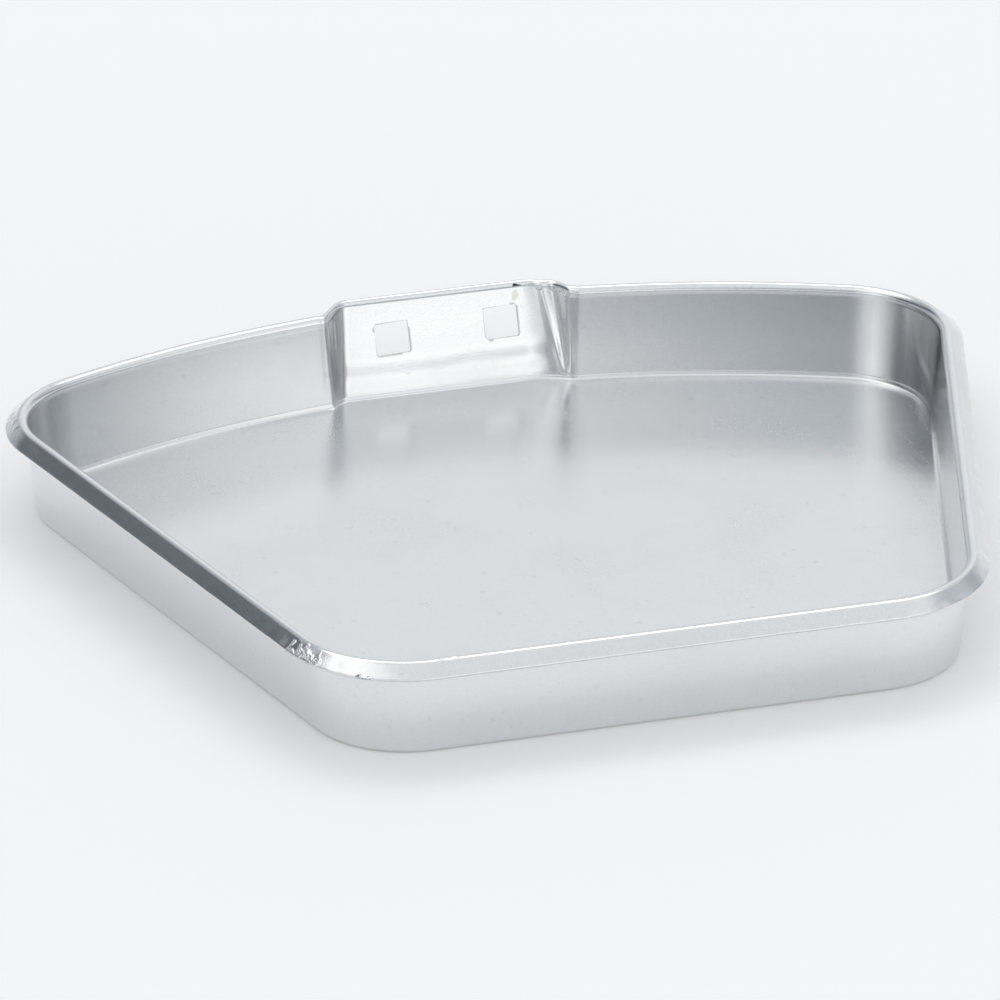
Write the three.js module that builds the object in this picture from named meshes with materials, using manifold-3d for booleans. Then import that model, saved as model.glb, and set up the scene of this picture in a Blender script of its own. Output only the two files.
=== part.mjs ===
// Five-sided sheet-aluminium tray with a turned-down rim and a flat, leaning
// mounting pad in the middle of its arced back wall. The pad has two punched
// near-square holes. The tray is drawn from one piece of sheet.
// Frame: +X is the tray's width, +Y points from the straight front edge to the
// arced back wall, +Z is up. Origin: middle of the footprint, on the underside.

import * as THREE from 'three';
import { mergeVertices } from 'three/addons/utils/BufferGeometryUtils.js';
import Module from 'manifold-3d';

// ---- driving dimensions, mm ----
const SHEET = 1.0;            // sheet thickness
const HEIGHT = 27.2;          // underside to the top of the rim
const HALF_FRONT = 79.2;      // half of the front edge, between sharp corners
const HALF_BACK = 129.15;     // half of the widest part, between sharp corners
const SIDE_DEPTH = 176.5;     // front edge to the sharp back corners
const DEPTH = 209.9;          // front edge to the crown of the back arc
const FRONT_CORNER_R = 26.5;  // plan radius of the front corners
const BACK_CORNER_R = 26.5;   // plan radius of the back corners
const BOTTOM_R = 2.0;         // outer radius between the underside and the wall
const CREST_R = 1.9;          // outer radius where the wall turns over
const WALL_FLARE_DEG = 4.5;   // how far the walls lean out
const FLANGE_REACH = 7.36;    // wall's foot to the rim's outer edge
const FLANGE_SLOPE_DEG = 40;  // slope of the turned-down flange

const PAD_LEFT_OUT = -33.8;   // where the pad's left shoulder leaves the arc
const PAD_LEFT_IN = -26.2;    // left end of the flat pad
const PAD_RIGHT_IN = 26.6;    // right end of the flat pad
const PAD_RIGHT_OUT = 36.6;   // where the right shoulder meets the arc again
const PAD_Y_FLOOR = 210.3;    // pad's inner face at the floor
const PAD_Y_KINK = 212.75;    // pad's inner face at the section's middle level
const PAD_Z_KINK = 9.5;       // height of that level
const PAD_LEAN_DEG = 16.1;    // lean of the pad

const HOLE_WIDTH = 9.5;       // holes, across
const HOLE_HEIGHT = 8.7;      // holes, up the pad
const HOLE_CORNER_R = 0.9;    // punch corner radius
const HOLES = [               // centres: x, height on the pad, turn in degrees
  { x: -13.2, z: 16.0, turn: 2.4 },
  { x: 17.7, z: 16.9, turn: 1.8 },
];

// ---- plan outline of the wall's outer face ----
// A straight front, two straight sides that splay out to the back, and a back
// arc, with the four corners rounded.
function outlineStations() {
  const rise = DEPTH - SIDE_DEPTH;
  const arcR = (HALF_BACK ** 2 + rise ** 2) / (2 * rise);
  const arcY = DEPTH - arcR;
  const side = new THREE.Vector2(HALF_BACK - HALF_FRONT, SIDE_DEPTH).normalize();
  const out = new THREE.Vector2(side.y, -side.x);
  const front = new THREE.Vector2(
    HALF_FRONT + (-FRONT_CORNER_R - FRONT_CORNER_R * out.y) / out.x, FRONT_CORNER_R);
  const base = new THREE.Vector2(HALF_FRONT, 0).addScaledVector(out, -BACK_CORNER_R);
  const rel = base.clone().sub(new THREE.Vector2(0, arcY));
  const b = 2 * rel.dot(side);
  const c = rel.lengthSq() - (arcR - BACK_CORNER_R) ** 2;
  const back = base.clone().addScaledVector(side, (-b + Math.sqrt(b * b - 4 * c)) / 2);
  const sideAngle = Math.atan2(out.y, out.x);
  const backAngle = Math.atan2(back.y - arcY, back.x);

  const arc = (cx, cy, r, a0, a1) => new THREE.EllipseCurve(cx, cy, r, r, a0, a1, false, 0);
  const stations = [];
  const sample = (curve, ts) => {
    for (const t of ts) {
      const p = curve.getPoint(t);
      const d = curve.getTangent(t);
      stations.push({ x: p.x, y: p.y, nx: d.y, ny: -d.x });
    }
  };
  const even = (n) => Array.from({ length: n }, (_, i) => i / n);
  const frontA = new THREE.Vector2(front.x, front.y).addScaledVector(out, FRONT_CORNER_R);
  const backA = back.clone().addScaledVector(out, BACK_CORNER_R);

  sample(new THREE.LineCurve(new THREE.Vector2(0, 0), new THREE.Vector2(front.x, 0)), even(3));
  sample(arc(front.x, front.y, FRONT_CORNER_R, -Math.PI / 2, sideAngle), even(11));
  sample(new THREE.LineCurve(frontA, backA), even(3));
  sample(arc(back.x, back.y, BACK_CORNER_R, sideAngle, 0), even(3));
  sample(arc(back.x, back.y, BACK_CORNER_R, 0, backAngle), even(10));
  // The back arc runs from the right corner to the left corner, with closer
  // stations over the pad's shoulders.
  const angleAt = (x) => Math.acos(x / arcR);
  const span = Math.PI - 2 * backAngle;
  const xs = [];
  const steps = (x0, x1, n) => { for (let i = 0; i < n; i++) xs.push(x0 + (x1 - x0) * i / n); };
  steps(arcR * Math.cos(backAngle), PAD_RIGHT_OUT, 7);
  steps(PAD_RIGHT_OUT, PAD_RIGHT_IN, 8);
  steps(PAD_RIGHT_IN, PAD_LEFT_IN, 5);
  steps(PAD_LEFT_IN, PAD_LEFT_OUT, 8);
  steps(PAD_LEFT_OUT, -arcR * Math.cos(backAngle), 7);
  sample(arc(0, arcY, arcR, backAngle, Math.PI - backAngle),
    xs.map((x) => (angleAt(x) - backAngle) / span));
  sample(arc(-back.x, back.y, BACK_CORNER_R, Math.PI - backAngle, Math.PI), even(10));
  sample(arc(-back.x, back.y, BACK_CORNER_R, Math.PI, Math.PI - sideAngle), even(3));
  const mirror = (v) => new THREE.Vector2(-v.x, v.y);
  sample(new THREE.LineCurve(mirror(backA), mirror(frontA)), even(3));
  sample(arc(-front.x, front.y, FRONT_CORNER_R, Math.PI - sideAngle, 1.5 * Math.PI), even(11));
  sample(new THREE.LineCurve(new THREE.Vector2(-front.x, 0), new THREE.Vector2(0, 0)), even(3));
  return stations;
}

// ---- section through floor, wall, crest and flange ----
// x is the distance outside the wall's foot, y is the height. The path runs
// over the inside, round the rim, and back down the outside. The wall leans
// out by leanDeg above the middle level, where it has moved out by kink.
function section(kink, leanDeg) {
  const lean = THREE.MathUtils.degToRad(leanDeg);
  const slope = THREE.MathUtils.degToRad(FLANGE_SLOPE_DEG);
  const flare = THREE.MathUtils.degToRad(WALL_FLARE_DEG);
  const insideR = BOTTOM_R - SHEET;
  const bendR = CREST_R - SHEET;
  const crestY = HEIGHT - CREST_R;
  // crest centre, so that the wall's inner face is tangent to the crest
  const centre = (k, a) => -SHEET + k
    + (crestY + CREST_R * Math.sin(a) - PAD_Z_KINK) * Math.tan(a) + CREST_R * Math.cos(a);
  const crestX = centre(kink, lean);
  const plainX = centre(PAD_Z_KINK * Math.tan(flare), flare);
  const edgeX = FLANGE_REACH + crestX - plainX;
  const startX = crestX + CREST_R * Math.sin(slope);
  const startY = crestY + CREST_R * Math.cos(slope);
  const edgeY = startY - (edgeX - startX) * Math.tan(slope);

  const p = new THREE.Path();
  p.moveTo(-SHEET - insideR, SHEET);
  p.absarc(-SHEET - insideR, SHEET + insideR, insideR, -Math.PI / 2, 0, false);
  p.lineTo(-SHEET + kink, PAD_Z_KINK);
  p.lineTo(crestX - CREST_R * Math.cos(lean), crestY + CREST_R * Math.sin(lean));
  p.absarc(crestX, crestY, CREST_R, Math.PI - lean, Math.PI / 2, true);
  p.absarc(crestX, crestY, CREST_R, Math.PI / 2, Math.PI / 2 - slope, true);
  p.lineTo(edgeX, edgeY);
  p.lineTo(edgeX - SHEET * Math.sin(slope), edgeY - SHEET * Math.cos(slope));
  p.absarc(crestX, crestY, bendR, Math.PI / 2 - slope, Math.PI - lean, false);
  p.lineTo(kink - SHEET + SHEET / Math.cos(lean), PAD_Z_KINK);
  p.lineTo(0, BOTTOM_R);
  p.absarc(-BOTTOM_R, BOTTOM_R, BOTTOM_R, 0, -Math.PI / 2, true);

  // The same number of points for every lean, so two sections can be blended.
  const arcSteps = [4, 3, 3, 3, 5];
  const pts = [];
  const add = (v) => {
    const last = pts[pts.length - 1];
    if (!last || last.distanceTo(v) > 1e-6) pts.push(v);
  };
  let arcs = 0;
  for (const curve of p.curves) {
    curve.getPoints(curve.isEllipseCurve ? arcSteps[arcs++] : 1).forEach(add);
  }
  return pts;
}

// ---- the pad ----
// 0 on the arc, 1 on the flat pad: straight shoulders with eased ends.
function eased(t) {
  const e = 0.16;
  if (t <= -e) return 0;
  if (t >= 1 + e) return 1;
  if (t < e) return (t + e) ** 2 / (4 * e);
  if (t > 1 - e) return 1 - (1 + e - t) ** 2 / (4 * e);
  return t;
}
const padShare = (x) => eased((x - PAD_LEFT_OUT) / (PAD_LEFT_IN - PAD_LEFT_OUT))
  * eased((PAD_RIGHT_OUT - x) / (PAD_RIGHT_OUT - PAD_RIGHT_IN));
const padLean = THREE.MathUtils.degToRad(PAD_LEAN_DEG);
const padInnerY = (z) => PAD_Y_KINK + (z - PAD_Z_KINK) * Math.tan(padLean);

// ---- tray shell ----
function shellGeometry() {
  const stations = outlineStations();
  const plain = section(PAD_Z_KINK * Math.tan(THREE.MathUtils.degToRad(WALL_FLARE_DEG)), WALL_FLARE_DEG);
  const pad = section(PAD_Y_KINK - PAD_Y_FLOOR, PAD_LEAN_DEG);
  const n = stations.length;
  const m = plain.length;
  const pos = [];
  for (let j = 0; j < m; j++) {
    for (const s of stations) {
      const w = s.y > SIDE_DEPTH ? padShare(s.x) : 0;
      const y = s.y + s.ny * plain[j].x;
      pos.push(
        s.x + s.nx * plain[j].x,
        y + w * (PAD_Y_FLOOR + SHEET + pad[j].x - y),
        plain[j].y + w * (pad[j].y - plain[j].y));
    }
  }
  const midY = DEPTH * 0.55;
  const floorPole = pos.length / 3;
  pos.push(0, midY, SHEET);
  const underPole = pos.length / 3;
  pos.push(0, midY, 0);
  const index = [];
  for (let j = 0; j < m - 1; j++) {
    for (let i = 0; i < n; i++) {
      const k = (i + 1) % n;
      const a = j * n + i, b = j * n + k, c = (j + 1) * n + k, d = (j + 1) * n + i;
      index.push(a, c, b, a, d, c);
    }
  }
  for (let i = 0; i < n; i++) {
    const k = (i + 1) % n;
    index.push(floorPole, i, k);
    index.push(underPole, (m - 1) * n + k, (m - 1) * n + i);
  }
  const g = new THREE.BufferGeometry();
  g.setAttribute('position', new THREE.Float32BufferAttribute(pos, 3));
  g.setIndex(index);
  return g;
}

// ---- punched holes ----
function holeGeometry(hole) {
  const w = HOLE_WIDTH / 2, h = HOLE_HEIGHT / 2, r = HOLE_CORNER_R;
  const s = new THREE.Shape();
  s.moveTo(-w + r, -h);
  s.lineTo(w - r, -h);
  s.absarc(w - r, -h + r, r, -Math.PI / 2, 0, false);
  s.lineTo(w, h - r);
  s.absarc(w - r, h - r, r, 0, Math.PI / 2, false);
  s.lineTo(-w + r, h);
  s.absarc(-w + r, h - r, r, Math.PI / 2, Math.PI, false);
  s.lineTo(-w, -h + r);
  s.absarc(-w + r, -h + r, r, Math.PI, 1.5 * Math.PI, false);
  const g = new THREE.ExtrudeGeometry(s, { depth: 12, bevelEnabled: false, curveSegments: 4 });
  g.translate(0, 0, -6);
  // The punch runs square to the pad: the shape's X stays across the pad, its
  // Y runs up the pad.
  g.rotateZ(THREE.MathUtils.degToRad(hole.turn));
  g.rotateX(Math.PI / 2 - padLean);
  g.translate(hole.x, padInnerY(hole.z) + SHEET / 2, hole.z);
  return g;
}

const wasm = await Module();
wasm.setup();
function toSolid(geometry) {
  let g = geometry.clone();
  g.deleteAttribute('normal');
  g.deleteAttribute('uv');
  g = mergeVertices(g, 1e-4);
  const idx = [];
  const a = g.index.array;
  for (let i = 0; i < a.length; i += 3) {
    if (a[i] !== a[i + 1] && a[i + 1] !== a[i + 2] && a[i] !== a[i + 2]) {
      idx.push(a[i], a[i + 1], a[i + 2]);
    }
  }
  return new wasm.Manifold(new wasm.Mesh({
    numProp: 3,
    vertProperties: new Float32Array(g.attributes.position.array),
    triVerts: new Uint32Array(idx),
  }));
}
function toGeometry(solid) {
  const mesh = solid.getMesh();
  const g = new THREE.BufferGeometry();
  g.setAttribute('position', new THREE.BufferAttribute(new Float32Array(mesh.vertProperties), 3));
  g.setIndex(new THREE.BufferAttribute(new Uint32Array(mesh.triVerts), 1));
  return g;
}

let solid = toSolid(shellGeometry());
for (const hole of HOLES) solid = solid.subtract(toSolid(holeGeometry(hole)));
const trayGeometry = toGeometry(solid);

// Origin to the middle of the footprint.
trayGeometry.computeBoundingBox();
const box = trayGeometry.boundingBox;
trayGeometry.translate(0, -(box.min.y + box.max.y) / 2, 0);
trayGeometry.computeVertexNormals();

const aluminium = new THREE.MeshStandardMaterial({ color: 0xc9cbcc, roughness: 0.34, metalness: 1.0 });
const tray = new THREE.Mesh(trayGeometry, aluminium);
tray.name = 'tray_pan';

const part = new THREE.Group();
part.add(tray);
export default part;
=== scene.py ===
"""Looks for the sheet-aluminium tray: a fine mesh of the same shell, with its
drawn-sheet surface, corner wrinkles, trimmed flange and pad shoulders."""

import math

import bpy
import numpy as np
from mathutils import Matrix, Vector


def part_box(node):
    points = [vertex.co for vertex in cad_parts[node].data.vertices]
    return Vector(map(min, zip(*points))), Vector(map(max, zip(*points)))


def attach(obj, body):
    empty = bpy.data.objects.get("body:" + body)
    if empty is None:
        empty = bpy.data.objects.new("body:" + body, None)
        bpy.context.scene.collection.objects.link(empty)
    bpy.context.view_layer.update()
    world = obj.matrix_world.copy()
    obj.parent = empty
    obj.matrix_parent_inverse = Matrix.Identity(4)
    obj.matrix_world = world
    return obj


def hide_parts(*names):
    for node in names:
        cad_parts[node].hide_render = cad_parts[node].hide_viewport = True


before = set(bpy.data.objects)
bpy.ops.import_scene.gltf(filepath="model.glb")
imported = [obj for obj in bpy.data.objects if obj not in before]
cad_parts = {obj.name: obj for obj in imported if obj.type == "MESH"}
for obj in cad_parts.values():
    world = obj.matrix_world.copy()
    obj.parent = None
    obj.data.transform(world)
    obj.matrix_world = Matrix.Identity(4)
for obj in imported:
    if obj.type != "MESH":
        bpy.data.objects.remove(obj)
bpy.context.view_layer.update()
node_lo, node_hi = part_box("tray_pan")

# ---------------------------------------------------------------- dimensions
SHEET = 1.0
HEIGHT = node_hi.z * 1000
HALF_FRONT, HALF_BACK = 79.2, 129.15
SIDE_DEPTH, DEPTH = 176.5, 209.9
FRONT_R, BACK_R = 26.5, 26.5
BOTTOM_R, CREST_R = 2.0, 1.9
REACH, SLOPE = 7.36, math.radians(40)
FLARE = math.radians(4.5)
Y_SHIFT = node_lo.y * 1000 + REACH        # the tray's own front edge to the row frame

PAD_L0, PAD_L1, PAD_R1, PAD_R0 = -33.8, -26.2, 26.6, 36.6
PAD_Y0, PAD_YK, PAD_ZK, PAD_LEAN = 210.3, 212.75, 9.5, math.radians(16.1)

HOLE_W, HOLE_H, HOLE_R = 9.5, 8.7, 0.9
HOLES = [(-13.2, 16.0, 2.4), (17.7, 16.9, 1.8)]

rng = np.random.default_rng(7)


def smooth(t):
    u = np.clip(t, 0.0, 1.0)
    return u * u * (3 - 2 * u)


def bump(x, c, w):
    return np.exp(-((x - c) / w) ** 2)


def noise1(x, cell, seed):
    """Smooth value noise along one line."""
    r = np.random.default_rng(seed).uniform(-1, 1, 4096)
    u = x / cell
    i = np.floor(u).astype(int)
    f = u - i
    f = f * f * (3 - 2 * f)
    return r[i % 4096] * (1 - f) + r[(i + 1) % 4096] * f


# ---------------------------------------------------------------- plan outline
def outline():
    rise = DEPTH - SIDE_DEPTH
    arc_r = (HALF_BACK ** 2 + rise ** 2) / (2 * rise)
    arc_y = DEPTH - arc_r
    side = np.array([HALF_BACK - HALF_FRONT, SIDE_DEPTH])
    side /= np.hypot(*side)
    out = np.array([side[1], -side[0]])
    front = np.array([HALF_FRONT + (-FRONT_R - FRONT_R * out[1]) / out[0], FRONT_R])
    base = np.array([HALF_FRONT, 0.0]) - out * BACK_R
    rel = base - np.array([0, arc_y])
    b = 2 * rel @ side
    c = rel @ rel - (arc_r - BACK_R) ** 2
    back = base + side * (-b + math.sqrt(b * b - 4 * c)) / 2
    a_side = math.atan2(out[1], out[0])
    a_back = math.atan2(back[1] - arc_y, back[0])

    def line(p, q, n):
        t = np.arange(n) / n
        P = p + np.outer(t, q - p)
        d = (q - p) / np.hypot(*(q - p))
        return P, np.tile([d[1], -d[0]], (n, 1))

    def arc(cx, cy, r, a):
        N = np.c_[np.cos(a), np.sin(a)]
        return np.array([cx, cy]) + N * r, N

    def span(a0, a1, n):
        return a0 + (a1 - a0) * np.arange(n) / n

    mir = np.array([-1.0, 1.0])
    fa, ba = front + out * FRONT_R, back + out * BACK_R
    seg = [
        line(np.array([0.0, 0.0]), np.array([front[0], 0.0]), 62),
        arc(*front, FRONT_R, span(-math.pi / 2, a_side, 46)),
        line(fa, ba, 116),
        arc(*back, BACK_R, span(a_side, a_back, 56)),
    ]
    x_end = arc_r * math.cos(a_back)
    xs = np.concatenate([
        np.linspace(x_end, PAD_R0 + 4, 60, endpoint=False),
        np.linspace(PAD_R0 + 4, PAD_R1 - 3, 62, endpoint=False),
        np.linspace(PAD_R1 - 3, PAD_L1 + 2, 70, endpoint=False),
        np.linspace(PAD_L1 + 2, PAD_L0 - 4, 50, endpoint=False),
        np.linspace(PAD_L0 - 4, -x_end, 66, endpoint=False),
    ])
    seg.append(arc(0, arc_y, arc_r, np.arccos(xs / arc_r)))
    seg += [
        arc(-back[0], back[1], BACK_R, span(math.pi - a_back, math.pi - a_side, 56)),
        line(ba * mir, fa * mir, 116),
        arc(-front[0], front[1], FRONT_R, span(math.pi - a_side, 1.5 * math.pi, 46)),
        line(np.array([-front[0], 0.0]), np.array([0.0, 0.0]), 62),
    ]
    P = np.vstack([s[0] for s in seg])
    N = np.vstack([s[1] for s in seg])
    return P, N


# ---------------------------------------------------------------- section
def section(kink, lean, soft, crest=CREST_R):
    """Points (distance outside the wall's foot, height, flange share)."""
    in_r, bend = BOTTOM_R - SHEET, crest - SHEET
    cy = HEIGHT - crest

    def centre(k, a):
        return -SHEET + k + (cy + crest * math.sin(a) - PAD_ZK) * math.tan(a) + crest * math.cos(a)

    cx = centre(kink, lean)
    ex = REACH + cx - centre(PAD_ZK * math.tan(FLARE), FLARE)
    pts = []

    def arc(x, y, r, a0, a1, n, share=0.0, end=True):
        for a in np.linspace(a0, a1, n, endpoint=end):
            pts.append((x + r * math.cos(a), y + r * math.sin(a), share))

    def line(x0, y0, x1, y1, n, s0=0.0, s1=0.0, end=True):
        for t in np.linspace(0, 1, n, endpoint=end):
            pts.append((x0 + (x1 - x0) * t, y0 + (y1 - y0) * t, s0 + (s1 - s0) * t))

    def wall(x0, z0, x1, z1, x2, z2, n):
        """Up the wall with a soft bend at the middle point."""
        for z in np.linspace(z0, z2, n, endpoint=False):
            a = x0 + (x1 - x0) * (z - z0) / (z1 - z0)
            b = x1 + (x2 - x1) * (z - z1) / (z2 - z1)
            h = min(max(0.5 + 0.5 * (b - a) / soft, 0), 1)
            pts.append((a * (1 - h) + b * h + soft * h * (1 - h) * 0.5, z, 0.0))

    arc(-SHEET - in_r, SHEET + in_r, in_r, -math.pi / 2, 0, 8, end=False)
    wall(-SHEET, SHEET + in_r, -SHEET + kink, PAD_ZK,
         cx - crest * math.cos(lean), cy + crest * math.sin(lean), 34)
    arc(cx, cy, crest, math.pi - lean, math.pi / 2, 10, end=False)
    arc(cx, cy, crest, math.pi / 2, math.pi / 2 - SLOPE, 6, end=False)
    sx, sy = cx + crest * math.sin(SLOPE), cy + crest * math.cos(SLOPE)
    ey = sy - (ex - sx) * math.tan(SLOPE)
    r = 0.30                                  # the trimmed edge is slightly rounded
    d = np.array([math.cos(SLOPE), -math.sin(SLOPE)])
    nrm = np.array([math.sin(SLOPE), math.cos(SLOPE)])
    top = np.array([ex, ey])
    line(sx, sy, *(top - d * r), 10, 0.0, 0.97, end=False)
    a0 = math.atan2(nrm[1], nrm[0])
    for c, b in ((top - d * r - nrm * r, a0), (top - d * r - nrm * (SHEET - r), a0 - math.pi / 2)):
        for a in np.linspace(b, b - math.pi / 2, 4):
            pts.append((c[0] + r * math.cos(a), c[1] + r * math.sin(a), 1.0))
    low = top - d * r - nrm * SHEET
    line(*(low - d * 0.3), cx + bend * math.sin(SLOPE), cy + bend * math.cos(SLOPE), 8, 0.95, 0.0, end=False)
    arc(cx, cy, bend, math.pi / 2 - SLOPE, math.pi - lean, 7, end=False)
    out = kink - SHEET + SHEET / math.cos(lean)
    line(cx - bend * math.cos(lean), cy + bend * math.sin(lean), out, PAD_ZK, 14, end=False)
    line(out, PAD_ZK, 0.0, BOTTOM_R, 6, end=False)
    arc(-BOTTOM_R, BOTTOM_R, BOTTOM_R, 0, -math.pi / 2, 8)
    return np.array(pts)


# ---------------------------------------------------------------- pad
def eased(t, e=0.14, f=0.36):
    """A straight ramp from 0 to 1 with rounded ends."""
    t = np.asarray(t, float)
    v = np.clip(t, 0, 1)
    v = np.where(np.abs(t) < e, (t + e) ** 2 / (4 * e), v)
    return np.where(np.abs(t - 1) < f, 1 - (1 + f - t) ** 2 / (4 * f), v)


def pad_face(z):
    return PAD_YK + (z - PAD_ZK) * math.tan(PAD_LEAN)


def build_shell():
    P, N = outline()
    A = section(PAD_ZK * math.tan(FLARE), FLARE, 0.3)
    B = section(PAD_YK - PAD_Y0, PAD_LEAN, 0.9, 1.35)
    n, m = len(P), len(A)
    step = np.hypot(*(np.roll(P, -1, 0) - P).T)
    arc_len = np.concatenate([[0], np.cumsum(step)[:-1]])
    e, z = A[:, 0][:, None], A[:, 1][:, None]
    up = np.clip((B[:, 1][:, None] - SHEET) / (HEIGHT - SHEET), 0, 1)
    X = P[:, 0][None] + N[:, 0][None] * e
    Y = P[:, 1][None] + N[:, 1][None] * e
    x = P[:, 0][None]
    # the shoulders widen a little towards the rim
    l0, l1 = PAD_L0 + 1.7 - 0.7 * up, PAD_L1 - 2.2 + 1.6 * up
    r1, r0 = PAD_R1 + 0.6 + 0.3 * up, PAD_R0 - 0.5 + 0.8 * up
    w = eased((x - l0) / (l1 - l0)) * eased((r0 - x) / (r0 - r1))
    w = w * (P[:, 1] > SIDE_DEPTH)[None]
    Y = Y + w * (PAD_Y0 + SHEET + B[:, 0][:, None] - Y)
    Z = z + w * (B[:, 1][:, None] - z)
    back = (P[:, 1] > SIDE_DEPTH)[None]

    # a soft crease runs across the pad below the holes
    zz = B[:, 1][:, None] - 0.012 * (x - 2) + 0.35 * noise1(x, 9.0, 31)
    Y = Y + w * (0.09 * smooth((zz - 2.0) / 5.0) - 0.14 * smooth((zz - 6.2) / 5.0) + 0.05 * smooth((zz - 10.6) / 7.0))

    # right shoulder: the sheet is pinched into a dart, wide at the rim and
    # running out at the floor; left shoulder: one steep crease
    t = np.clip(up, 0, 1)
    mid = 34.3 - 2.2 * t
    half = 0.9 + 2.3 * t
    u = np.clip(1 - np.abs((x - mid) / half), 0, 1)
    dart = smooth(u) * smooth(t / 0.3)
    lips = bump(x, mid - half * 1.05, 0.9) + bump(x, mid + half * 1.05, 0.8)
    Y = Y + back * (1.5 * dart * (0.4 + 0.6 * t) - 0.28 * lips * smooth(t / 0.3))
    fold = bump(x, -30.4 + 0.5 * t, 0.45) * smooth((t - 0.3) / 0.3) * (1 - smooth((t - 0.85) / 0.15))
    Y = Y + back * 0.28 * fold
    Y = Y - back * 0.22 * bump(x, -33.4 - 0.6 * t, 0.9) * smooth(t / 0.5)

    # trimmed edge: slightly ragged all round, torn in places along the front
    s = arc_len[None]
    fl = A[:, 2][:, None]
    edge = smooth((fl - 0.55) / 0.45)
    torn = smooth((P[:, 0] - 20) / 30)[None] * (P[:, 1] < 12)[None]
    rag = 0.05 * noise1(s, 2.6, 11) + 0.04 * noise1(s, 0.9, 12) + torn * (0.16 * noise1(s, 1.7, 13) + 0.10 * noise1(s, 0.7, 14))
    down = -0.03 - 0.20 * torn * np.abs(noise1(s, 4.0, 15))
    X = X + N[:, 0][None] * edge * np.minimum(rag, 0.0)
    Y = Y + N[:, 1][None] * edge * np.minimum(rag, 0.0)
    Z = Z + edge * (down * 0.6 + 0.7 * np.minimum(rag, 0.0))

    # the flange is wavy and puckers where it turns the front-left corner
    cornerL = bump(np.arctan2(P[:, 1] - 32, P[:, 0] + 62), -2.55, 0.34)[None] * (P[:, 0] < -50)[None] * (P[:, 1] < 60)[None]
    cornerR = bump(np.arctan2(P[:, 1] - 32, P[:, 0] - 62), -0.6, 0.4)[None] * (P[:, 0] > 50)[None] * (P[:, 1] < 60)[None]
    wave = 0.05 * noise1(s, 14.0, 21) + 0.015 * noise1(s, 4.5, 22)
    pucker = cornerL * (0.22 * noise1(s, 2.1, 23) + 0.14 * noise1(s, 1.0, 24)) + cornerR * 0.22 * noise1(s, 3.2, 25)
    lift = smooth(fl / 0.9) * (wave + pucker)
    Z = Z + lift * 0.8
    inset = lift * 0.6 - np.abs(lift) * 0.3
    X = X + N[:, 0][None] * np.minimum(inset, 0.0)
    Y = Y + N[:, 1][None] * np.minimum(inset, 0.0)
    return X, Y, Z, arc_len, n, m, A, P, N


def make_tray():
    X, Y, Z, arc_len, n, m, S, P, N = build_shell()
    pos = [np.stack([X, Y, Z], -1).reshape(-1, 3)]
    # floor and underside: rings that shrink to a small centre
    cx, cy = 0.0, DEPTH * 0.55
    scales = [0.985, 0.94, 0.86, 0.74, 0.58, 0.4, 0.2]

    def rings(row):
        out = []
        for s in scales:
            q = row.copy()
            q[:, 0] = cx + (row[:, 0] - cx) * s
            q[:, 1] = cy + (row[:, 1] - cy) * s
            out.append(q)
        return out

    grid = pos[0].reshape(m, n, 3)
    floor, under = rings(grid[0]), rings(grid[-1])
    allrows = [r for r in reversed(floor)] + [grid[j] for j in range(m)] + under
    V = np.vstack(allrows)
    rows = len(allrows)
    V = np.vstack([V, [[cx, cy, SHEET]], [[cx, cy, 0.0]]])
    i = np.arange(n)
    k = (i + 1) % n
    quads = []
    for j in range(rows - 1):
        quads.append(np.stack([j * n + i, (j + 1) * n + i, (j + 1) * n + k, j * n + k], 1))
    quads = np.vstack(quads)
    p0, p1 = rows * n, rows * n + 1
    tris = np.vstack([np.stack([np.full(n, p0), i, k], 1),
                      np.stack([np.full(n, p1), (rows - 1) * n + k, (rows - 1) * n + i], 1)])
    V[:, 1] += Y_SHIFT
    V = V / 1000.0

    me = bpy.data.meshes.new("tray_shell")
    faces = [tuple(q) for q in quads.tolist()] + [tuple(t) for t in tris.tolist()]
    me.from_pydata(V.tolist(), [], faces)
    me.update()
    ob = bpy.data.objects.new("tray_shell", me)
    bpy.context.collection.objects.link(ob)
    return ob


def hole_cutter(x, z, turn, k):
    """Rounded near-square prism, square to the pad."""
    w, h, r = HOLE_W / 2, HOLE_H / 2, 0.55
    pts = []
    for sx, sy, a0 in ((1, -1, -90), (1, 1, 0), (-1, 1, 90), (-1, -1, 180)):
        for a in np.radians(np.linspace(a0, a0 + 90, 8)):
            pts.append((sx * (w - r) + r * math.cos(a), sy * (h - r) + r * math.sin(a)))
    c = len(pts)
    M = (Matrix.Translation((x, pad_face(z) + SHEET / 2 + Y_SHIFT, z))
         @ Matrix.Rotation(math.pi / 2 - PAD_LEAN, 4, "X")
         @ Matrix.Rotation(math.radians(turn), 4, "Z"))
    V = [M @ Vector((p[0], p[1], d)) / 1000 for d in (-6, 6) for p in pts]
    F = [tuple(range(c - 1, -1, -1)), tuple(range(c, 2 * c))]
    F += [(i, (i + 1) % c, c + (i + 1) % c, c + i) for i in range(c)]
    me = bpy.data.meshes.new(f"cut_{k}")
    me.from_pydata([tuple(v) for v in V], [], F)
    ob = bpy.data.objects.new(f"cut_{k}", me)
    bpy.context.collection.objects.link(ob)
    return ob


def punch(tray):
    cutters = [hole_cutter(*h, k) for k, h in enumerate(HOLES)]
    for c in cutters:
        mod = tray.modifiers.new("hole", "BOOLEAN")
        mod.operation, mod.solver, mod.object = "DIFFERENCE", "EXACT", c
    dg = bpy.context.evaluated_depsgraph_get()
    me = bpy.data.meshes.new_from_object(tray.evaluated_get(dg))
    tray.modifiers.clear()
    tray.data = me
    for c in cutters:
        bpy.data.objects.remove(c)
    return tray


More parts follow.
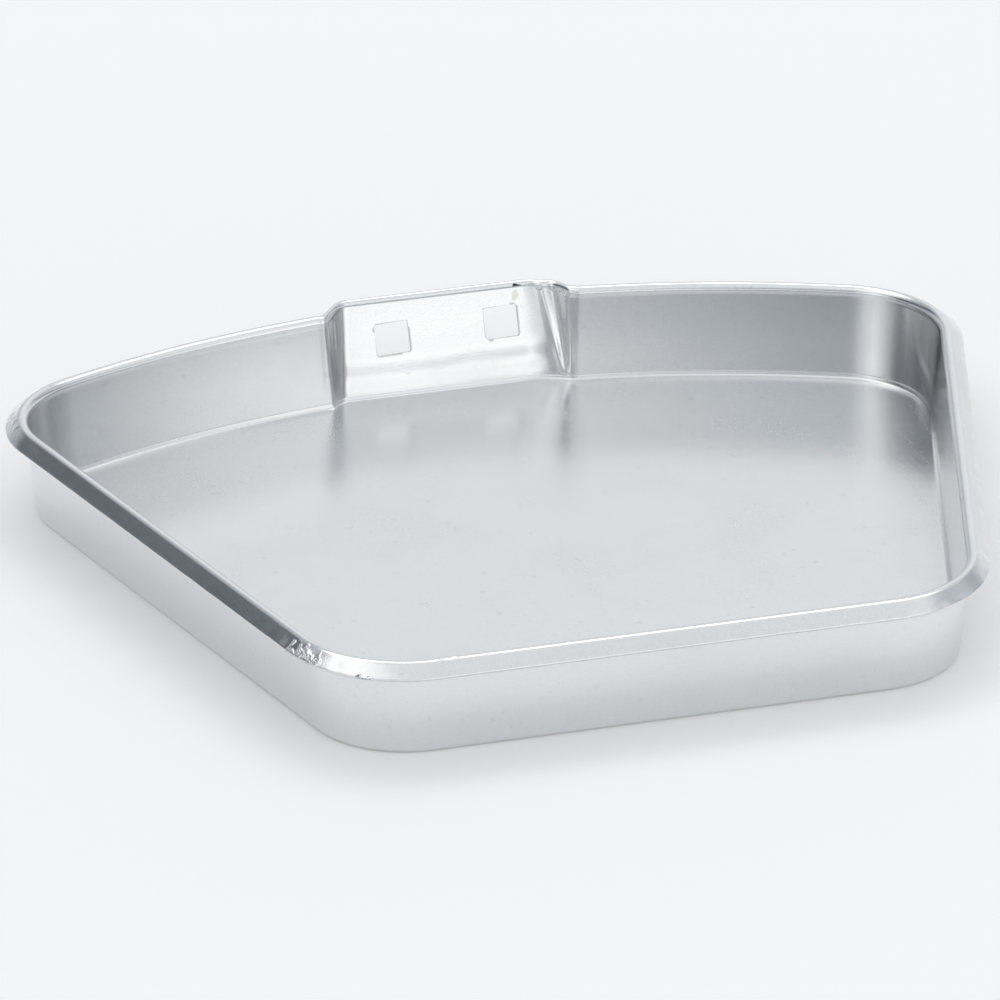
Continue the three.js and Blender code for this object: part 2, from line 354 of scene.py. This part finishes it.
# ---------------------------------------------------------------- material
YM = Y_SHIFT / 1000
CRINKLE = (-0.0912, 0.0120 + YM, 0.0248)
NICKS = [
    ((-0.1284, 0.1690 + YM, 0.0248), (0.0022, 0.0070, 0.0022), 0.0003),
    ((-0.0780, -0.0022 + YM, 0.0240), (0.0022, 0.0016, 0.0009), 0.0006),
    ((-0.0564, -0.0026 + YM, 0.0270), (0.0030, 0.0012, 0.0007), 0.0004),
]


def satin():
    """Bare sheet aluminium: fine rolled grain, a slightly duller floor, faint
    draw streaks up the walls, handling scuffs, small stains and painted shade on the holes' sheared faces."""
    mat = bpy.data.materials.new("satin_aluminium")
    mat.use_nodes = True
    nt = mat.node_tree
    L = nt.links.new
    bsdf = nt.nodes["Principled BSDF"]
    bsdf.inputs["Metallic"].default_value = 1.0

    tc = nt.nodes.new("ShaderNodeTexCoord")

    def mapped(scale, rot=(0, 0, 0)):
        m = nt.nodes.new("ShaderNodeMapping")
        m.inputs["Scale"].default_value = scale
        m.inputs["Rotation"].default_value = rot
        L(tc.outputs["Object"], m.inputs["Vector"])
        return m.outputs[0]

    def noise(vec, scale, detail=2.0, rough=0.5):
        n = nt.nodes.new("ShaderNodeTexNoise")
        n.inputs["Scale"].default_value = scale
        n.inputs["Detail"].default_value = detail
        n.inputs["Roughness"].default_value = rough
        L(vec, n.inputs["Vector"])
        return n.outputs["Fac"]

    def remap(v, a, b, c, d, smooth_step=False):
        m = nt.nodes.new("ShaderNodeMapRange")
        if smooth_step:
            m.interpolation_type = "SMOOTHSTEP"
        for k, x in (("From Min", a), ("From Max", b), ("To Min", c), ("To Max", d)):
            m.inputs[k].default_value = x
        L(v, m.inputs["Value"])
        return m.outputs[0]

    def op(kind, a, b):
        m = nt.nodes.new("ShaderNodeMath")
        m.operation = kind
        for k, x in enumerate((a, b)):
            if isinstance(x, (int, float)):
                m.inputs[k].default_value = x
            else:
                L(x, m.inputs[k])
        return m.outputs[0]

    sep = nt.nodes.new("ShaderNodeSeparateXYZ")
    L(tc.outputs["Object"], sep.inputs[0])
    z = sep.outputs["Z"]
    obj = tc.outputs["Object"]

    grain = noise(obj, 2600.0, 2.0, 0.55)
    cloud = noise(obj, 28.0, 4.0, 0.55)
    streak = noise(mapped((1, 1, 0.06)), 900.0, 2.0, 0.6)
    scuff = noise(mapped((1, 0.12, 1), (0, 0, 0.5)), 260.0, 3.0, 0.6)
    speck = noise(obj, 420.0, 1.0, 0.4)

    wall = remap(z, 0.0013, 0.0035, 0.0, 1.0, True)      # 0 on the floor, 1 on the walls

    # roughness: the floor is duller than the drawn walls
    base = remap(wall, 0.0, 1.0, 0.23, 0.165)
    r = op("ADD", base, remap(grain, 0.3, 0.7, -0.03, 0.03))
    r = op("ADD", r, remap(cloud, 0.35, 0.65, -0.02, 0.025))
    r = op("ADD", r, remap(scuff, 0.60, 0.75, 0.0, 0.04, True))
    L(r, bsdf.inputs["Roughness"])

    # colour: near-neutral, a touch cool, with faint stains
    ramp = nt.nodes.new("ShaderNodeMix")
    ramp.data_type = "RGBA"
    cols = [i for i in ramp.inputs if i.type == "RGBA"]
    cols[0].default_value = (0.806, 0.816, 0.822, 1)
    cols[1].default_value = (0.745, 0.752, 0.755, 1)
    shade = op("ADD", remap(speck, 0.70, 0.80, 0.0, 0.9, True), remap(cloud, 0.45, 0.75, 0.0, 0.35, True))
    shade = op("MINIMUM", shade, 1.0)
    L(shade, ramp.inputs[0])
    fleck = nt.nodes.new("ShaderNodeMix")
    fleck.data_type = "RGBA"
    fleck.blend_type = "MULTIPLY"
    c = [i for i in fleck.inputs if i.type == "RGBA"]
    fleck.inputs[0].default_value = 1.0
    L([o for o in ramp.outputs if o.type == "RGBA"][0], c[0])
    L(remap(grain, 0.3, 0.7, 0.96, 1.04), c[1])
    tone = [o for o in fleck.outputs if o.type == "RGBA"][0]

    def darken(colour, factor, dark):
        m = nt.nodes.new("ShaderNodeMix")
        m.data_type = "RGBA"
        c = [i for i in m.inputs if i.type == "RGBA"]
        L(factor, m.inputs[0])
        L(colour, c[0])
        c[1].default_value = dark
        return [o for o in m.outputs if o.type == "RGBA"][0]

    def blot(centre, size, lo, hi):
        """Ragged spot: 1 inside, 0 outside."""
        m = nt.nodes.new("ShaderNodeMapping")
        m.inputs["Scale"].default_value = [1 / k for k in size]
        m.inputs["Location"].default_value = [-c / k for c, k in zip(centre, size)]
        L(obj, m.inputs["Vector"])
        n = nt.nodes.new("ShaderNodeVectorMath")
        n.operation = "LENGTH"
        L(m.outputs[0], n.inputs[0])
        d = op("ADD", n.outputs["Value"], remap(speck, 0.3, 0.7, -0.5, 0.5))
        return remap(d, lo, hi, 1.0, 0.0, True)

    # painted shade: the sheared faces of the holes are darkened to stand in for the shade inside the holes
    at = nt.nodes.new("ShaderNodeAttribute")
    at.attribute_name = "hole_wall_shade"
    tone = darken(tone, op("MULTIPLY", at.outputs["Fac"], 0.9), (0.34, 0.34, 0.33, 1))
    # scar on the pad's rim, with a faint mark running down to the right hole
    ym = Y_SHIFT / 1000
    tone = darken(tone, blot((0.0227, 0.2182 + ym, 0.0262), (0.0017, 0.0022, 0.0006), 0.62, 0.85), (0.03, 0.03, 0.028, 1))
    tone = darken(tone, blot((0.0222, 0.2170 + ym, 0.0238), (0.0010, 0.0030, 0.0020), 0.30, 1.0), (0.66, 0.66, 0.64, 1))
    L(tone, bsdf.inputs["Base Color"])

    # height: grain everywhere, draw streaks on the walls, low swells
    swell = noise(obj, 55.0, 2.0, 0.5)
    h = op("MULTIPLY", grain, remap(wall, 0.0, 1.0, 0.0000120, 0.0000150))
    h = op("ADD", h, op("MULTIPLY", op("MULTIPLY", streak, wall), 0.0000050))
    h = op("ADD", h, op("MULTIPLY", swell, 0.000030))
    crinkle = noise(obj, 620.0, 3.0, 0.6)
    pucker = blot(CRINKLE, (0.0060, 0.0060, 0.0022), 0.6, 1.2)
    h = op("ADD", h, op("MULTIPLY", op("MULTIPLY", crinkle, pucker), 0.00055))
    for c, size, deep in NICKS:
        h = op("ADD", h, op("MULTIPLY", op("MULTIPLY", crinkle, blot(c, size, 0.5, 1.1)), deep))
    bmp = nt.nodes.new("ShaderNodeBump")
    bmp.inputs["Strength"].default_value = 1.0
    bmp.inputs["Distance"].default_value = 1.0
    L(h, bmp.inputs["Height"])
    L(bmp.outputs[0], bsdf.inputs["Normal"])
    return mat


tray = punch(make_tray())
for p in tray.data.polygons:
    p.use_smooth = True
tray.data.set_sharp_from_angle(angle=math.radians(38))


def mark_hole_wall_shade(ob):
    """Mask for the painted shade inside the holes: 1 on the sheared faces of the holes, 0 elsewhere."""
    me = ob.data
    co = np.empty(len(me.vertices) * 3)
    me.vertices.foreach_get("co", co)
    co = co.reshape(-1, 3) * 1000
    hole_wall_shade = np.zeros(len(co))
    for x, z, turn in HOLES:
        a = math.radians(turn)
        lean = PAD_LEAN
        dx, dy, dz = co[:, 0] - x, co[:, 1] - (pad_face(z) + SHEET / 2 + Y_SHIFT), co[:, 2] - z
        v = dy * math.sin(lean) + dz * math.cos(lean)
        d = dy * math.cos(lean) - dz * math.sin(lean)
        p, q = dx * math.cos(a) + v * math.sin(a), -dx * math.sin(a) + v * math.cos(a)
        p, q = np.abs(p) - (HOLE_W / 2 - 0.55), np.abs(q) - (HOLE_H / 2 - 0.55)
        sdf = np.hypot(np.maximum(p, 0), np.maximum(q, 0)) + np.minimum(np.maximum(p, q), 0) - 0.55
        hole_wall_shade[(np.abs(sdf) < 0.05) & (np.abs(d) < 2.5)] = 1.0
    # mask attribute that drives the painted shade on the hole walls
    at = me.attributes.new("hole_wall_shade", "FLOAT", "POINT")
    at.data.foreach_set("value", hole_wall_shade.astype(np.float32))


mark_hole_wall_shade(tray)
tray.data.materials.clear()
tray.data.materials.append(satin())
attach(tray, "root")
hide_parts("tray_pan")

# ---------------------------------------------------------------- stage
fm = bpy.data.materials.new("pale_floor")
fm.use_nodes = True
fb = fm.node_tree.nodes["Principled BSDF"]
fb.inputs["Base Color"].default_value = (0.9, 0.9, 0.905, 1)
fb.inputs["Roughness"].default_value = 0.9
fb.inputs["Specular IOR Level"].default_value = 0.1
fb.inputs["Emission Color"].default_value = (1.0, 1.0, 1.0, 1)

fb.inputs["Emission Strength"].default_value = 0.10      # lifts the board to a pale white
fme = bpy.data.meshes.new("floor")
R = 6.0
fme.from_pydata([(-R, -R, 0), (R, -R, 0), (R, R, 0), (-R, R, 0)], [], [(0, 1, 2, 3)])
fme.materials.append(fm)
floor = bpy.data.objects.new("floor", fme)
floor.location.z = -0.0001
bpy.context.collection.objects.link(floor)

# The room around the tray, as brightness by direction: one ring of 12 values
# (every 30 degrees, counter-clockwise from +X) for each band of elevation.
ROOM = [
    ((0.0, 11.0), [1.0, 0.87, 0.82, 0.62, 0.70, 0.48, 0.38, 1.0, 0.95, 1.45, 1.35, 0.74]),
    ((11.0, 22.0), [0.12, 0.60, 0.95, 0.6, 0.50, 0.12, 0.12, 1.35, 0.3, 0.82, 1.25, 0.5]),
    ((22.0, 34.0), [0.70, 0.42, 0.93, 0.9, 0.10, 0.20, 0.08, 0.8, 0.5, 0.8, 1.15, 0.55]),
    ((34.0, 52.0), [0.55, 0.72, 0.85, 0.6, 0.46, 0.54, 1.0, 1.12, 0.74, 0.95, 0.95, 0.95]),
    ((52.0, 72.0), [0.92, 1.6, 2.3, 2.2, 1.9, 1.6, 1.25, 1.15, 0.95, 0.85, 0.82, 0.88]),
    ((72.0, 90.0), [0.86] * 12),
]


def studio_world():
    world = bpy.data.worlds.new("studio")
    bpy.context.scene.world = world
    world.use_nodes = True
    nt = world.node_tree
    L = nt.links.new
    bg = nt.nodes["Background"]
    tc = nt.nodes.new("ShaderNodeTexCoord")
    sep = nt.nodes.new("ShaderNodeSeparateXYZ")
    L(tc.outputs["Generated"], sep.inputs[0])

    def math_node(op, a, b=None, v=None):
        m = nt.nodes.new("ShaderNodeMath")
        m.operation = op
        L(a, m.inputs[0])
        if b is not None:
            L(b, m.inputs[1])
        if v is not None:
            m.inputs[1].default_value = v
        return m.outputs[0]

    az = math_node("ARCTAN2", sep.outputs["Y"], sep.outputs["X"])
    turn = math_node("FRACT", math_node("MULTIPLY", az, v=1 / (2 * math.pi)))
    el = math_node("MULTIPLY", math_node("ARCSINE", sep.outputs["Z"]), v=180 / math.pi)
    out = None
    for (e0, e1), ring in ROOM:
        ramp = nt.nodes.new("ShaderNodeValToRGB")
        cr = ramp.color_ramp
        cr.interpolation = "LINEAR"
        while len(cr.elements) < 13:
            cr.elements.new(0.5)
        for k, v in enumerate(ring + ring[:1]):
            cr.elements[k].position = k / 12
            g, t = v / 2.5, min(max((v - 0.3) / 0.8, 0.0), 1.0)    # dark parts are cooler
            cr.elements[k].color = (g * (0.90 + 0.115 * t), g * (0.985 + 0.015 * t), g * (1.07 - 0.09 * t), 1)
        L(turn, ramp.inputs[0])
        if out is None:
            out = ramp.outputs[0]
            continue
        mr = nt.nodes.new("ShaderNodeMapRange")
        mr.interpolation_type = "SMOOTHSTEP"
        mr.inputs["From Min"].default_value = e0 - 2.5
        mr.inputs["From Max"].default_value = e0 + 2.5
        L(el, mr.inputs["Value"])
        mix = nt.nodes.new("ShaderNodeMix")
        mix.data_type = "RGBA"
        L(mr.outputs[0], mix.inputs[0])
        cols = [i for i in mix.inputs if i.type == "RGBA"]
        L(out, cols[0])
        L(ramp.outputs[0], cols[1])
        out = [o for o in mix.outputs if o.type == "RGBA"][0]
    tint = nt.nodes.new("ShaderNodeMix")
    tint.data_type = "RGBA"
    tint.blend_type = "MULTIPLY"
    tint.inputs["Factor"].default_value = 1.0
    cols = [i for i in tint.inputs if i.type == "RGBA"]
    L(out, cols[0])
    cols[1].default_value = (0.99, 1.0, 1.01, 1)
    L([o for o in tint.outputs if o.type == "RGBA"][0], bg.inputs[0])
    bg.inputs[1].default_value = 2.5


studio_world()

bpy.context.scene.view_settings.view_transform = "Standard"
bpy.context.scene.view_settings.look = "None"

# ---------------------------------------------------------------- camera
CAM_F, CAM_YAW, CAM_EL, CAM_ROLL = 7622.124, 0.265700, 0.434380, -0.010440
aim = Vector((-4.57528 * 0.861, 161.17816 * 0.861 + Y_SHIFT, 0)) / 1000
fwd = Vector((math.sin(CAM_YAW) * math.cos(CAM_EL), math.cos(CAM_YAW) * math.cos(CAM_EL), -math.sin(CAM_EL)))
right = Vector((math.cos(CAM_YAW), -math.sin(CAM_YAW), 0))
up = right.cross(fwd)
r2 = right * math.cos(CAM_ROLL) + up * math.sin(CAM_ROLL)
u2 = -right * math.sin(CAM_ROLL) + up * math.cos(CAM_ROLL)
cam = bpy.data.cameras.new("camera")
cam.sensor_width = 36.0
cam.lens = CAM_F * 36.0 / 1000.0
cam.clip_start, cam.clip_end = 0.05, 50
co = bpy.data.objects.new("camera", cam)
rot = Matrix((r2, u2, -fwd)).transposed()
co.matrix_world = Matrix.Translation(aim - fwd * (2351.19318 * 0.861 / 1000)) @ rot.to_4x4()
bpy.context.collection.objects.link(co)
bpy.context.scene.camera = co
